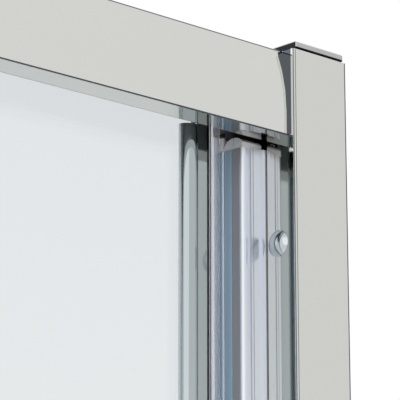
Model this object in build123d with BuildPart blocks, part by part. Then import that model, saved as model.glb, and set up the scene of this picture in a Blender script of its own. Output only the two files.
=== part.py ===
"""Framed sliding shower door for an alcove: one fixed pane and one sliding pane hung on grooved wheels.

X runs along the opening, Y from the room into the shower, Z up. The origin is the middle of the
underside of the bottom rail. A depth is counted from the face of the wall jambs towards the shower,
and a reach is counted from a side wall towards the middle of the opening.
"""

import os
from math import sqrt

from build123d import *

os.makedirs("parts", exist_ok=True)

# Whole door
overall_width = 1200.0
frame_height = 1900.0
frame_depth = 60.0
works_depth = 39.2
metal_wall = 1.6
glass_thickness = 6.0
slide_travel = 450.0
seat_gap = 0.3

# Wall jambs and the channels behind them
jamb_face_width = 41.0
glazing_slot_width = 10.4
glazing_slot_floor = 12.0
jamb_wall_gap = 0.6
jamb_corner = 0.8
shadow_groove = 0.6
groove_inset = 0.5
channel_wall = 1.8
channel_leg = 26.0
channel_clearance = 0.3
screw_port_reach = 24.0
screw_port_fin = 1.6
wall_hole_radius = 2.75
wall_hole_pitch = 1500.0
wall_hole_inner_pitch = 500.0
cap_plate = 3.6
cap_neck = 1.0
cap_inset = 1.6
cap_plug_depth = 9.0
cap_plug_wall = 1.5

# Header rail
header_height = 48.5
fascia_setback = 3.8
fascia_flat = 14.0
fascia_lean = 3.3
fascia_top_round = 2.5
rail_edge_round = 0.8
rear_wall_rise = 16.0
glazing_rib_rise = 14.0
track_width = 10.8
track_plate = 2.2
track_bead_width = 2.4
track_bead_height = 2.0
track_bead_round = 0.6
block_length = 14.0
block_screw_set_in = 2.0
block_screw_rises = (14.0, 36.0)

# Bottom rail
sill_height = 24.0
sill_deck = 20.0
sill_land = 3.8
sill_slot_floor = 8.0
sill_rear_height = 14.0
sill_rear_slope = 5.0
cover_skin_width = 1.2

# Panes
glass_arris = 0.5

# Fixed pane
fixed_edge_x = 5.0
fixed_reach = 22.0
fixed_bottom = 12.0
fixed_top_insert = 34.0
gasket_bite = 12.0
gasket_lip = 1.2
gasket_taper = 0.3
setting_inset = 110.0
setting_length = 60.0

# Sliding pane
pane_gap = 11.0
pane_left_x = -53.0
pane_reach = 65.5
pane_bottom = 34.0
pane_top_rise = 22.0
rail_grip = 12.0
rail_wall = 1.4
liner_wall = 0.8
rail_fin = 2.2
rail_fin_height = 14.0
pull_radius = 6.0
pull_wall = 1.2
pull_flange = 7.4
pull_edge_margin = 3.2
pull_top_rise = 5.0
pull_flange_rise = 9.0
seal_wall = 1.0
seal_leg = 10.0
seal_fin = 0.8
seal_lean = 6.0
bulb_radius = 3.2

# Hanging gear
hanger_inset = 95.0
hanger_length = 50.0
hanger_plate = 2.5
hanger_rise = 43.0
hanger_corner = 4.0
wheel_width = 6.0
wheel_tread_radius = 10.0
wheel_flange_radius = 11.4
wheel_groove_play = 0.2
track_gap = 0.1
bearing_radius = 6.5
bearing_bore = 3.0
bearing_width = 5.0
bearing_race = 1.5
axle_play = 0.02
axle_head_radius = 4.0
axle_head = 1.5
bolt_radius = 2.5
bolt_head_radius = 5.0
bolt_head = 2.4
bolt_pitch = 34.0
adjust_slot = 9.0
nut_radius = 4.6
nut_height = 2.7
pad_gap = 0.5
pad_length = 16.0
pad_wall = 1.0
buffer_thickness = 4.0
stop_length = 20.0
stop_height = 14.0
stop_clearance = 0.6

# Strike on the closing jamb
strike_width = 15.0
strike_set_back = 0.8
strike_depth = 25.9
strike_top_gap = 4.8
strike_foot = 4.0
strike_tongue = 20.0
strike_corner = 2.4
strike_heel = 3.0
strike_step = 1.6
strike_land = 5.0
strike_brow = 1.3
strike_lip = 1.1
reed_gap = 0.6
reed_width = 1.2
shadow_width = 1.6
shadow_depth = 2.0
cushion_width = 6.0
cushion_depth = 3.4
cushion_rib = 1.4
cushion_proud = 0.3
cushion_round = 1.0
plug_slot = 0.8
plug_dome = 6.4
plug_horn = 10.6
plug_horn_rise = 2.6
plug_waist = 2.0
plug_side_inset = 0.4
plug_shank = 8.0

# Bottom guide
guide_x = 14.0
guide_length = 30.0
guide_base = 3.0
guide_wall = 2.5
guide_rise = 22.0
guide_gap = 0.4
guide_screw_inset = 7.0

# Screws and their covers
jamb_screw_radius = 2.1
jamb_screw_length = 26.0
jamb_screw_head = 3.4
jamb_screw_head_height = 1.5
cover_radius = 7.2
cover_dome = 3.4
cover_drop = 58.0
cover_set_in = 8.0
lowest_screw = 150.0
small_screw_radius = 1.75
small_screw_head = 3.3
small_screw_head_height = 1.6
screw_play = 0.25

# Places worked out from the sizes above
half_width = overall_width / 2
front = -frame_depth / 2
inner_half = half_width - jamb_face_width
header_bottom = frame_height - header_height
slot_front = frame_depth - works_depth
slot_rear = slot_front + glazing_slot_width
cover_depth = slot_front - cover_set_in
fixed_front = (slot_front + slot_rear - glass_thickness) / 2
fixed_rear = fixed_front + glass_thickness
pane_front = fixed_rear + pane_gap
pane_rear = pane_front + glass_thickness
pane_middle = (pane_front + pane_rear) / 2
block_screw_depth = pane_middle - block_screw_set_in
pane_right_x = half_width - pane_reach
pane_top = header_bottom + pane_top_rise
rail_bottom = pane_top - rail_grip
liner_top = pane_top + liner_wall
rail_top = liner_top + rail_wall
liner_half = glass_thickness / 2 + liner_wall
rail_half = liner_half + rail_wall
fin_top = rail_top + rail_fin_height
fin_front = pane_middle - rail_fin / 2
plate_front = pane_middle + rail_fin / 2
plate_rear = plate_front + hanger_plate
plate_bottom = rail_top + seat_gap
rear_wall_inner = frame_depth - metal_wall
track_bottom = header_bottom + rear_wall_rise
track_top = track_bottom + track_plate
bead_top = track_top + track_bead_height
track_front = frame_depth - track_width
wheel_front = track_front + seat_gap
wheel_middle = wheel_front + wheel_width / 2
wheel_z = bead_top + track_gap + wheel_tread_radius
axle_radius = bearing_bore - axle_play
race_rear = wheel_middle + bearing_width / 2
header_inside = frame_height - metal_wall
hanger_top = header_bottom + hanger_rise
hanger_xs = (pane_left_x + hanger_inset, pane_right_x - hanger_inset)
bolt_xs = [x + s * bolt_pitch / 2 for x in hanger_xs for s in (-1, 1)]
bolt_z = rail_top + rail_fin_height / 2
screw_zs = (lowest_screw, frame_height / 2, header_bottom - cover_drop)
strike_x = inner_half - strike_width
strike_top = header_bottom - strike_top_gap
strike_bottom = sill_height + strike_foot
strike_front = slot_front + strike_set_back
strike_rear = strike_front + strike_depth
block_screw_zs = [header_bottom + rise for rise in block_screw_rises]
wall_hole_offsets = [s * p / 2 for p in (wall_hole_pitch, wall_hole_inner_pitch) for s in (-1, 1)]
stop_reach = hanger_length / 2 + seat_gap + buffer_thickness
stop_faces = ((-1, hanger_xs[0] - slide_travel - stop_reach), (1, hanger_xs[1] + stop_reach))
stop_screw_xs = [x + side * stop_length / 2 for side, x in stop_faces]
stop_screw_depth = wheel_middle
guide_screw_xs = (guide_x + guide_screw_inset, guide_x + guide_length - guide_screw_inset)


def y_at(depth):
    """Y of a depth counted from the face of the jambs."""
    return front + depth


def wall_x(side, reach):
    """X of a reach counted from the right wall, side 1, or the left wall, side -1."""
    return side * (half_width - reach)


def save(builder, name):
    """Label one finished piece and write it to its own file."""
    builder.part.label = name
    export_step(builder.part, f"parts/{name}.step")


def span(x0, x1, y0, y1, mode=Mode.ADD):
    """A rectangle between two corners, in the sketch that is open."""
    with Locations(((x0 + x1) / 2, (y0 + y1) / 2)):
        Rectangle(abs(x1 - x0), abs(y1 - y0), mode=mode)


def block(x0, x1, y0, y1, z0, z1, mode=Mode.ADD):
    """A block between two corners, in the part that is open."""
    with Locations(((x0 + x1) / 2, (y0 + y1) / 2, (z0 + z1) / 2)):
        Box(abs(x1 - x0), abs(y1 - y0), abs(z1 - z0), mode=mode)


def across(x):
    """Plane across the opening, whose own x and y are the door's Y and Z."""
    return Plane.YZ.offset(x)


def facing_room(x, depth, z):
    """Plane with its origin at a point and its normal towards the room."""
    return Plane(origin=(x, y_at(depth), z), x_dir=(1, 0, 0), z_dir=(0, -1, 0))


def facing_side(side, x, depth, z):
    """Plane with its origin at a point and its normal away from a side wall."""
    return Plane(origin=(x, y_at(depth), z), x_dir=(0, side, 0), z_dir=(-side, 0, 0))


def bore(plane, radius, depth):
    """A round hole from a plane's origin against its normal, in the part that is open."""
    with BuildSketch(plane) as disc:
        Circle(radius)
    extrude(disc.sketch, amount=-depth, mode=Mode.SUBTRACT)


def peg(plane, radius, length):
    """A round pin from a plane's origin against its normal, in the part that is open."""
    with BuildSketch(plane) as disc:
        Circle(radius)
    extrude(disc.sketch, amount=-length)


# Header rail: hollow curved fascia with a flat lip, glazing rib, rear wall and a beaded track
with BuildPart() as header_rail:
    with BuildSketch(across(-inner_half)) as header_section:
        face_y = y_at(fascia_setback)
        curve_height = header_height - fascia_flat
        curve_radius = (curve_height**2 + fascia_lean**2) / (2 * fascia_lean)
        middle_lean = curve_radius - sqrt(curve_radius**2 - (curve_height / 2) ** 2)
        with BuildLine():
            Line((face_y, header_bottom), (face_y, header_bottom + fascia_flat))
            ThreePointArc(
                (face_y, header_bottom + fascia_flat),
                (face_y + middle_lean, header_bottom + fascia_flat + curve_height / 2),
                (face_y + fascia_lean, frame_height),
            )
            Polyline(
                (face_y + fascia_lean, frame_height),
                (y_at(slot_front), frame_height),
                (y_at(slot_front), header_bottom),
                (face_y, header_bottom),
            )
        make_face()
        fillet(header_section.vertices().group_by(Axis.Y)[-1].sort_by(Axis.X)[0], fascia_top_round)
        fillet(header_section.vertices().group_by(Axis.Y)[0], rail_edge_round)
        offset(amount=-metal_wall, kind=Kind.INTERSECTION, mode=Mode.SUBTRACT)
        span(y_at(slot_front) - metal_wall / 2, y_at(frame_depth), header_inside, frame_height)
        span(y_at(rear_wall_inner), y_at(frame_depth), track_bottom, frame_height)
        span(y_at(slot_rear), y_at(slot_rear + metal_wall), header_bottom + glazing_rib_rise, frame_height)
        span(y_at(track_front), y_at(frame_depth), track_bottom, track_top)
        bead_y = y_at(wheel_middle)
        span(bead_y - track_bead_width / 2, bead_y + track_bead_width / 2, track_bottom, bead_top)
        fillet(
            header_section.vertices().filter_by_position(Axis.Y, bead_top - 0.01, bead_top + 0.01),
            track_bead_round,
        )
        fillet(header_section.vertices().group_by(Axis.X)[-1], rail_edge_round)
    extrude(amount=2 * inner_half)
    for x in stop_screw_xs:
        bore(
            Plane((x, y_at(stop_screw_depth), bead_top)),
            small_screw_radius + screw_play,
            bead_top - track_bottom,
        )
save(header_rail, "header_rail")

# Bottom rail: rounded nose, slot for the fixed pane, drained deck and a sloped rear edge
with BuildPart() as bottom_rail:
    with BuildSketch(across(-inner_half)) as sill_section:
        nose_y = y_at(fascia_setback)
        nose_radius = slot_front - sill_land - fascia_setback
        with BuildLine():
            Line((nose_y, 0), (nose_y, sill_height - nose_radius))
            RadiusArc(
                (nose_y, sill_height - nose_radius),
                (nose_y + nose_radius, sill_height),
                nose_radius,
            )
            Polyline(
                (nose_y + nose_radius, sill_height),
                (y_at(slot_front), sill_height),
                (y_at(slot_front), sill_slot_floor),
                (y_at(slot_rear), sill_slot_floor),
                (y_at(slot_rear), sill_deck),
                (y_at(frame_depth - sill_rear_slope), sill_deck),
                (y_at(frame_depth), sill_rear_height),
                (y_at(frame_depth), 0),
                (nose_y, 0),
            )
        make_face()
        offset(amount=-metal_wall, kind=Kind.INTERSECTION, mode=Mode.SUBTRACT)
    extrude(amount=2 * inner_half)
    for x in guide_screw_xs:
        bore(Plane((x, y_at(pane_middle), sill_deck)), small_screw_radius + screw_play, 2 * metal_wall)
save(bottom_rail, "bottom_rail")

# Snap-in cover over the empty stretch of the bottom rail's slot, beside the fixed pane
with BuildPart() as slot_cover:
    with BuildSketch(across(fixed_edge_x + seal_wall + seat_gap)):
        with BuildLine():
            Polyline(
                (y_at(slot_front), sill_height),
                (y_at(slot_rear), sill_deck),
                (y_at(slot_rear), sill_slot_floor),
                (y_at(slot_rear) - cover_skin_width, sill_slot_floor),
                (y_at(slot_rear) - cover_skin_width, sill_deck - cover_skin_width),
                (y_at(slot_front) + cover_skin_width, sill_height - cover_skin_width),
                (y_at(slot_front) + cover_skin_width, sill_slot_floor),
                (y_at(slot_front), sill_slot_floor),
                close=True,
            )
        make_face()
    extrude(amount=inner_half - fixed_edge_x - seal_wall - seat_gap)
save(slot_cover, "slot_cover")


# Wall jambs: one extrusion mirrored, with a hollow front box, a glazing slot and a rear box
def make_jamb(side):
    room_x = wall_x(side, jamb_face_width)
    back_x = wall_x(side, jamb_wall_gap)
    skin_x = wall_x(side, jamb_face_width - metal_wall)
    with BuildPart() as jamb:
        with BuildSketch() as section:
            span(room_x, back_x, y_at(0), y_at(frame_depth))
            fillet(section.vertices().sort_by(Axis.X, reverse=side < 0)[:2], jamb_corner)
            cut = Mode.SUBTRACT
            span(room_x, wall_x(side, glazing_slot_floor), y_at(slot_front), y_at(slot_rear), cut)
            span(skin_x, back_x, y_at(metal_wall), y_at(slot_front - metal_wall), cut)
            span(skin_x, back_x, y_at(slot_rear + metal_wall), y_at(rear_wall_inner), cut)
            span(
                wall_x(side, glazing_slot_floor - metal_wall),
                back_x,
                y_at(slot_front - metal_wall),
                y_at(slot_rear + metal_wall),
                cut,
            )
            groove_x = wall_x(side, jamb_face_width - jamb_corner - groove_inset)
            span(groove_x, groove_x + side * shadow_groove, y_at(0), y_at(shadow_groove), cut)
        extrude(amount=frame_height)
        for z in screw_zs:
            bore(facing_side(side, room_x, cover_depth, z), jamb_screw_radius + screw_play, 2 * metal_wall)
        for z in block_screw_zs:
            bore(
                facing_side(side, room_x, block_screw_depth, z),
                small_screw_radius + screw_play,
                2 * metal_wall,
            )
    return jamb


# U-channel fixed to the wall inside each jamb, with a slotted screw port for the jamb's screws
def make_wall_channel(side):
    inside = metal_wall + channel_clearance
    port_half = jamb_screw_radius + axle_play
    with BuildPart() as channel:
        with BuildSketch():
            span(wall_x(side, 0), wall_x(side, channel_wall), y_at(inside), y_at(frame_depth - inside))
            for depth in (inside, frame_depth - inside - channel_wall):
                span(wall_x(side, 0), wall_x(side, channel_leg), y_at(depth), y_at(depth + channel_wall))
            for depth in (cover_depth - port_half - screw_port_fin, cover_depth + port_half):
                span(
                    wall_x(side, 0),
                    wall_x(side, screw_port_reach),
                    y_at(depth),
                    y_at(depth + screw_port_fin),
                )
        extrude(amount=frame_height - cap_plug_depth - channel_wall)
        for offset_z in wall_hole_offsets:
            z = frame_height / 2 + offset_z
            bore(
                facing_side(side, wall_x(side, channel_wall), frame_depth / 2, z),
                wall_hole_radius,
                2 * channel_wall,
            )
    return channel


# Cap on each jamb: a plate over a recessed neck, with two hollow plugs in the jamb's boxes
def make_jamb_cap(side):
    room_x = wall_x(side, jamb_face_width - cap_inset)
    back_x = wall_x(side, jamb_wall_gap + cap_neck)
    plug_x0 = wall_x(side, jamb_face_width - metal_wall - channel_clearance)
    plug_x1 = wall_x(side, channel_leg + cap_neck)
    pockets = (
        (metal_wall + channel_clearance, slot_front - metal_wall - channel_clearance),
        (slot_rear + metal_wall + channel_clearance, rear_wall_inner - channel_clearance),
    )
    with BuildPart() as cap:
        with BuildSketch(Plane.XY.offset(frame_height + cap_neck)) as plate:
            span(room_x, back_x, y_at(0), y_at(frame_depth))
            chamfer(plate.vertices(), cap_neck)
        extrude(amount=cap_plate)
        chamfer(cap.faces().sort_by(Axis.Z)[-1].edges(), rail_edge_round)
        with BuildSketch(Plane.XY.offset(frame_height)):
            span(
                room_x + side * cap_neck,
                back_x - side * cap_neck,
                y_at(cap_neck),
                y_at(frame_depth - cap_neck),
            )
        extrude(amount=cap_neck)
        for d0, d1 in pockets:
            with BuildSketch(Plane.XY.offset(frame_height)):
                span(plug_x0, plug_x1, y_at(d0), y_at(d1))
                inset = side * cap_plug_wall
                span(
                    plug_x0 + inset,
                    plug_x1 - inset,
                    y_at(d0 + cap_plug_wall),
                    y_at(d1 - cap_plug_wall),
                    Mode.SUBTRACT,
                )
            extrude(amount=-cap_plug_depth)
    return cap


# Nylon block that carries each end of the header: it is screwed to the jamb inside the rail
def make_header_block(side):
    slot_side = slot_rear + metal_wall + seat_gap
    notch_front = strike_rear - strike_lip - cushion_width - cushion_rib
    with BuildPart() as end_block:
        with BuildSketch(across(side * inner_half)):
            span(
                y_at(slot_side),
                y_at(notch_front),
                strike_top + plug_dome + seat_gap,
                header_inside - seat_gap,
            )
            span(
                y_at(slot_side),
                y_at(track_front - seat_gap),
                strike_top + plug_horn + seat_gap,
                header_inside - seat_gap,
            )
            span(
                y_at(slot_side),
                y_at(rear_wall_inner - seat_gap),
                bead_top + seat_gap,
                header_inside - seat_gap,
            )
        extrude(amount=-side * block_length)
        for z in block_screw_zs:
            bore(
                facing_side(side, side * (inner_half - block_length), block_screw_depth, z),
                small_screw_radius + screw_play,
                block_length,
            )
    return end_block


for side, name in ((-1, "left"), (1, "right")):
    save(make_jamb(side), f"jamb_{name}")
    save(make_wall_channel(side), f"wall_channel_{name}")
    save(make_jamb_cap(side), f"jamb_cap_{name}")
    save(make_header_block(side), f"header_block_{name}")


def pan_screw(plane, radius, length, head_radius, head_height):
    """A round-headed screw whose head stands on a plane's origin, with its shank against the normal."""
    peg(plane, radius, length)
    with BuildSketch(plane) as head:
        Circle(head_radius)
    extrude(head.sketch, amount=head_height)


# Screws that clamp each jamb to the channel behind it, and the domed covers over their heads
with BuildPart() as jamb_screws:
    for side in (-1, 1):
        for z in screw_zs:
            pan_screw(
                facing_side(side, wall_x(side, jamb_face_width), cover_depth, z),
                jamb_screw_radius,
                jamb_screw_length,
                jamb_screw_head,
                jamb_screw_head_height,
            )
save(jamb_screws, "jamb_screws")

with BuildPart() as cover_blank:
    dome_radius = (cover_radius**2 + cover_dome**2) / (2 * cover_dome)
    with BuildSketch(Plane.XZ):
        with Locations((0, cover_dome - dome_radius)):
            Circle(dome_radius)
        span(-2 * dome_radius, 0, -2 * dome_radius, 2 * dome_radius, Mode.SUBTRACT)
        span(0, 2 * dome_radius, -2 * dome_radius, 0, Mode.SUBTRACT)
        pocket_radius = jamb_screw_head + screw_play
        span(0, pocket_radius, 0, jamb_screw_head_height + screw_play, Mode.SUBTRACT)
    revolve(axis=Axis.Z)

with BuildPart() as screw_covers:
    with Locations(*[
        facing_side(side, wall_x(side, jamb_face_width), cover_depth, z).location
        for side in (-1, 1)
        for z in screw_zs
    ]):
        add(cover_blank.part)
save(screw_covers, "screw_covers")

# Screws through the header blocks into the jambs
with BuildPart() as block_screws:
    for side in (-1, 1):
        for z in block_screw_zs:
            pan_screw(
                facing_side(side, side * (inner_half - block_length), block_screw_depth, z),
                small_screw_radius,
                block_length + 3 * metal_wall,
                small_screw_head,
                small_screw_head_height,
            )
save(block_screws, "block_screws")

# Strike on the closing jamb: a stepped hollow extrusion whose tongue fills the jamb's slot
with BuildPart() as strike_profile:
    with BuildSketch(Plane.XY.offset(strike_bottom)) as strike_section:
        heel = jamb_face_width + strike_heel
        reed = heel + strike_land
        shadow = reed + reed_gap + reed_width
        nose = jamb_face_width + strike_width
        step = strike_front + strike_step
        floor = nose - cushion_depth
        first = strike_rear - strike_lip - cushion_width
        second = first - cushion_rib - cushion_width
        tongue_rear = slot_rear - seat_gap
        points = [
            (jamb_face_width - strike_tongue, strike_front),
            (heel, strike_front),
            (heel, step),
            (reed, step),
            (reed, step + reed_gap),
            (reed + reed_gap, step + reed_gap),
            (reed + reed_gap, step),
            (shadow, step),
            (shadow, step + shadow_depth),
            (shadow + shadow_width, step + shadow_depth),
            (shadow + shadow_width, step + strike_brow),
            (nose, step + strike_brow),
            (nose, second),
            (floor, second),
            (floor, second + cushion_width),
            (nose, second + cushion_width),
            (nose, first),
            (floor, first),
            (floor, first + cushion_width),
            (nose, first + cushion_width),
            (nose, strike_rear),
            (jamb_face_width, strike_rear),
            (jamb_face_width, tongue_rear),
            (jamb_face_width - strike_tongue, tongue_rear),
        ]
        with BuildLine():
            Polyline(*[(wall_x(1, reach), y_at(depth)) for reach, depth in points], close=True)
        make_face()
        fillet(strike_section.vertices().group_by(Axis.X)[0].sort_by(Axis.Y)[0], strike_corner)
        cavity = (
            wall_x(1, jamb_face_width + metal_wall),
            wall_x(1, floor - metal_wall),
            y_at(step + shadow_depth + metal_wall),
            y_at(strike_rear - metal_wall),
        )
        span(*cavity, Mode.SUBTRACT)
        span(
            wall_x(1, jamb_face_width - strike_tongue + metal_wall),
            wall_x(1, jamb_face_width - metal_wall),
            y_at(strike_front + metal_wall),
            y_at(tongue_rear - metal_wall),
            Mode.SUBTRACT,
        )
    extrude(amount=strike_top - strike_bottom)
save(strike_profile, "strike_profile")

# Soft strips pressed into the strike, one each side of its middle rib
with BuildPart() as strike_cushions:
    for depth in (first, second):
        with BuildSketch(Plane.XY.offset(strike_bottom)) as strip:
            span(
                wall_x(1, floor),
                wall_x(1, nose + cushion_proud),
                y_at(depth),
                y_at(depth + cushion_width),
            )
            fillet(strip.vertices().group_by(Axis.X)[0], cushion_round)
        extrude(amount=strike_top - strike_bottom)
save(strike_cushions, "strike_cushions")

# Top plug of the strike: a slotted dome in front and a rising horn behind, over a hollow-fit shank
with BuildPart() as strike_plug_top:
    with BuildSketch(across(wall_x(1, nose - plug_side_inset))) as plug_outline:
        dome_front = step + strike_brow + plug_side_inset
        dome_rear = second + cushion_width
        horn_front = dome_rear + plug_slot
        dome_middle = (dome_front + dome_rear) / 2
        shoulder = strike_top + plug_dome / 2
        with BuildLine():
            Line((y_at(dome_front), strike_top), (y_at(dome_front), shoulder))
            ThreePointArc(
                (y_at(dome_front), shoulder),
                (y_at(dome_middle), strike_top + plug_dome),
                (y_at(dome_rear), shoulder),
            )
            Polyline(
                (y_at(dome_rear), shoulder),
                (y_at(dome_rear), strike_top + plug_waist),
                (y_at(horn_front), strike_top + plug_waist),
                (y_at(horn_front), strike_top + plug_horn - plug_horn_rise),
            )
            ThreePointArc(
                (y_at(horn_front), strike_top + plug_horn - plug_horn_rise),
                (y_at((horn_front + strike_rear) / 2), strike_top + plug_horn - 0.8 * plug_horn_rise),
                (y_at(strike_rear), strike_top + plug_horn),
            )
            Polyline(
                (y_at(strike_rear), strike_top + plug_horn),
                (y_at(strike_rear), strike_top),
                (y_at(dome_front), strike_top),
            )
        make_face()
        span(
            y_at(dome_middle - plug_slot / 2),
            y_at(dome_middle + plug_slot / 2),
            strike_top + plug_waist,
            strike_top + 2 * plug_dome,
            Mode.SUBTRACT,
        )
    extrude(amount=strike_width - 2 * plug_side_inset)
    with BuildSketch(Plane.XY.offset(strike_top)):
        span(
            cavity[0] - seat_gap,
            cavity[1] + seat_gap,
            cavity[2] + seat_gap,
            cavity[3] - seat_gap,
        )
    extrude(amount=-plug_shank)
save(strike_plug_top, "strike_plug_top")

# Foot plug of the strike, shaped to the bottom rail's deck
with BuildPart() as strike_plug_foot:
    with BuildSketch(across(wall_x(1, nose - plug_side_inset))):
        span(y_at(dome_front), y_at(strike_rear), sill_height + seat_gap, strike_bottom)
        span(y_at(slot_rear + seat_gap), y_at(strike_rear), sill_deck, strike_bottom)
    extrude(amount=strike_width - 2 * plug_side_inset)
    with BuildSketch(Plane.XY.offset(strike_bottom)):
        span(
            cavity[0] - seat_gap,
            cavity[1] + seat_gap,
            cavity[2] + seat_gap,
            cavity[3] - seat_gap,
        )
    extrude(amount=plug_shank)
save(strike_plug_foot, "strike_plug_foot")

# Fixed pane with its arrissed edges, held in the slots of the jamb, the header and the bottom rail
with BuildPart() as fixed_glass:
    block(
        wall_x(-1, fixed_reach),
        fixed_edge_x,
        y_at(fixed_front),
        y_at(fixed_rear),
        fixed_bottom,
        header_bottom + fixed_top_insert,
    )
    chamfer(fixed_glass.edges(), glass_arris)
save(fixed_glass, "fixed_glass")


def wedge(side_depth, glass_depth, low, high):
    """Section of a glazing wedge between a metal wall and a pane, thinner at its far end."""
    taper = (side_depth - glass_depth) * gasket_taper
    with BuildLine() as outline:
        Polyline(
            (y_at(side_depth), low),
            (y_at(glass_depth), low),
            (y_at(glass_depth), (low + high) / 2),
            (y_at(glass_depth + taper), high),
            (y_at(side_depth), high),
            close=True,
        )
    make_face(outline.edges())


# Glazing wedges round the fixed pane: in the header, in the bottom rail and in the left jamb
with BuildPart() as header_gaskets:
    low_front = header_bottom + metal_wall / 2
    low_rear = header_bottom + glazing_rib_rise + metal_wall / 2
    for wall, face, low in ((slot_front, fixed_front, low_front), (slot_rear, fixed_rear, low_rear)):
        with BuildSketch(across(seat_gap - inner_half)):
            wedge(wall, face, low, low + gasket_bite)
        extrude(amount=inner_half - seat_gap + fixed_edge_x)
save(header_gaskets, "header_gaskets")

with BuildPart() as bottom_gaskets:
    for wall, face, top in ((slot_front, fixed_front, sill_height), (slot_rear, fixed_rear, sill_deck)):
        with BuildSketch(across(seat_gap - inner_half)):
            wedge(wall, face, top + gasket_lip, top + gasket_lip - gasket_bite)
        extrude(amount=inner_half - seat_gap + fixed_edge_x)
save(bottom_gaskets, "bottom_gaskets")

with BuildPart() as jamb_gaskets:
    for wall, face in ((slot_front, fixed_front), (slot_rear, fixed_rear)):
        with BuildSketch(Plane.XY.offset(fixed_bottom)):
            room_x = wall_x(-1, jamb_face_width - seat_gap)
            deep_x = wall_x(-1, jamb_face_width - gasket_bite)
            with BuildLine():
                Polyline(
                    (room_x, y_at(wall)),
                    (room_x, y_at(face)),
                    ((room_x + deep_x) / 2, y_at(face)),
                    (deep_x, y_at(face + (wall - face) * gasket_taper)),
                    (deep_x, y_at(wall)),
                    close=True,
                )
            make_face()
        extrude(amount=header_bottom + fixed_top_insert - fixed_bottom)
save(jamb_gaskets, "jamb_gaskets")

# Blocks that carry the fixed pane's weight in the bottom rail
with BuildPart() as setting_blocks:
    for x in (wall_x(-1, fixed_reach + setting_inset), fixed_edge_x - setting_inset):
        block(
            x - setting_length / 2,
            x + setting_length / 2,
            y_at(fixed_front),
            y_at(fixed_rear),
            sill_slot_floor,
            fixed_bottom,
        )
save(setting_blocks, "setting_blocks")


def edge_seal_section(edge_x, inward, near, far, fin_tip, fin_lean):
    """Section of a clip-on edge seal: a U over a pane's upright edge with one slanted fin.

    inward is 1 or -1, the way from the edge onto the pane; near is the pane's face on the fin's side
    and far its other face, both as depths.
    """
    away = 1 if far > near else -1
    near_out = near - away * seal_wall
    far_out = far + away * seal_wall
    back_x = edge_x - inward * seal_wall
    tip_x = back_x - inward * fin_lean
    leg_x = edge_x + inward * seal_leg
    span(back_x, leg_x, y_at(near_out), y_at(far_out))
    span(edge_x, leg_x, y_at(near), y_at(far), Mode.SUBTRACT)
    with BuildLine() as fin:
        Polyline(
            (back_x, y_at(near_out)),
            (tip_x, y_at(fin_tip)),
            (tip_x + inward * seal_fin, y_at(fin_tip)),
            (back_x + inward * seal_fin, y_at(near_out)),
            close=True,
        )
    make_face(fin.edges())


# Edge seals where the panes overlap: each fin wipes the other pane
with BuildPart() as fixed_edge_seal:
    with BuildSketch(Plane.XY.offset(sill_height + gasket_lip + seat_gap)):
        edge_seal_section(fixed_edge_x, -1, fixed_rear, fixed_front, pane_front - guide_gap, seal_lean)
    extrude(amount=header_bottom - sill_height - gasket_lip - 2 * seat_gap)
    block(
        fixed_edge_x,
        fixed_edge_x + 2 * seal_lean,
        y_at(fixed_rear + seal_wall),
        y_at(pane_front),
        sill_height,
        pane_bottom + seal_leg + seat_gap,
        Mode.SUBTRACT,
    )
save(fixed_edge_seal, "fixed_edge_seal")

with BuildPart() as overlap_seal:
    with BuildSketch(Plane.XY.offset(pane_bottom)):
        edge_seal_section(pane_left_x, 1, pane_front, pane_rear, fixed_rear + guide_gap, seal_lean)
    extrude(amount=rail_bottom - seat_gap - pane_bottom)
save(overlap_seal, "overlap_seal")

# Sliding pane with its arrissed edges
with BuildPart() as sliding_glass:
    block(pane_left_x, pane_right_x, y_at(pane_front), y_at(pane_rear), pane_bottom, pane_top)
    chamfer(sliding_glass.edges(), glass_arris)
save(sliding_glass, "sliding_glass")

# Carrier rail clamped on the sliding pane's top edge over a soft liner, with a slotted fin
with BuildPart() as carrier_rail:
    with BuildSketch(across(pane_left_x)):
        middle_y = y_at(pane_middle)
        span(middle_y - rail_half, middle_y + rail_half, rail_bottom, rail_top)
        span(middle_y - liner_half, middle_y + liner_half, rail_bottom, liner_top, Mode.SUBTRACT)
        span(y_at(fin_front), y_at(plate_front), rail_top, fin_top)
    extrude(amount=pane_right_x - pane_left_x)
    for x in bolt_xs:
        with BuildSketch(facing_room(x, fin_front, bolt_z)):
            SlotOverall(adjust_slot, 2 * (bolt_radius + screw_play), rotation=90)
        extrude(amount=-rail_fin, mode=Mode.SUBTRACT)
save(carrier_rail, "carrier_rail")

with BuildPart() as carrier_liner:
    with BuildSketch(across(pane_left_x)):
        span(middle_y - liner_half, middle_y + liner_half, rail_bottom, liner_top)
        half_glass = glass_thickness / 2
        span(middle_y - half_glass, middle_y + half_glass, rail_bottom, pane_top, Mode.SUBTRACT)
    extrude(amount=pane_right_x - pane_left_x)
save(carrier_liner, "carrier_liner")

# Full-height pull on the sliding pane: a hollow half-round bead with a flat flange beside it
with BuildPart() as pull_profile:
    bead_x = pane_right_x - pull_edge_margin - pull_flange - pull_radius
    pull_bottom = pane_bottom + seal_leg + seal_wall
    pane_y = y_at(pane_front)
    with BuildSketch(Plane.XY.offset(pull_bottom)):
        with Locations((bead_x, pane_y)):
            Circle(pull_radius)
            Circle(pull_radius - pull_wall, mode=Mode.SUBTRACT)
        edge_x = bead_x + pull_radius + pull_flange
        span(bead_x - pull_radius + pull_wall / 2, edge_x, pane_y - pull_wall, pane_y)
        span(bead_x - 2 * pull_radius, edge_x + pull_radius, pane_y, pane_y + 2 * pull_radius, Mode.SUBTRACT)
    extrude(amount=header_bottom + pull_top_rise - pull_bottom)
    with BuildSketch(Plane.XY.offset(header_bottom + pull_top_rise)):
        span(bead_x + pull_radius, edge_x, pane_y - pull_wall, pane_y)
    extrude(amount=pull_flange_rise - pull_top_rise)
save(pull_profile, "pull_profile")

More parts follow.
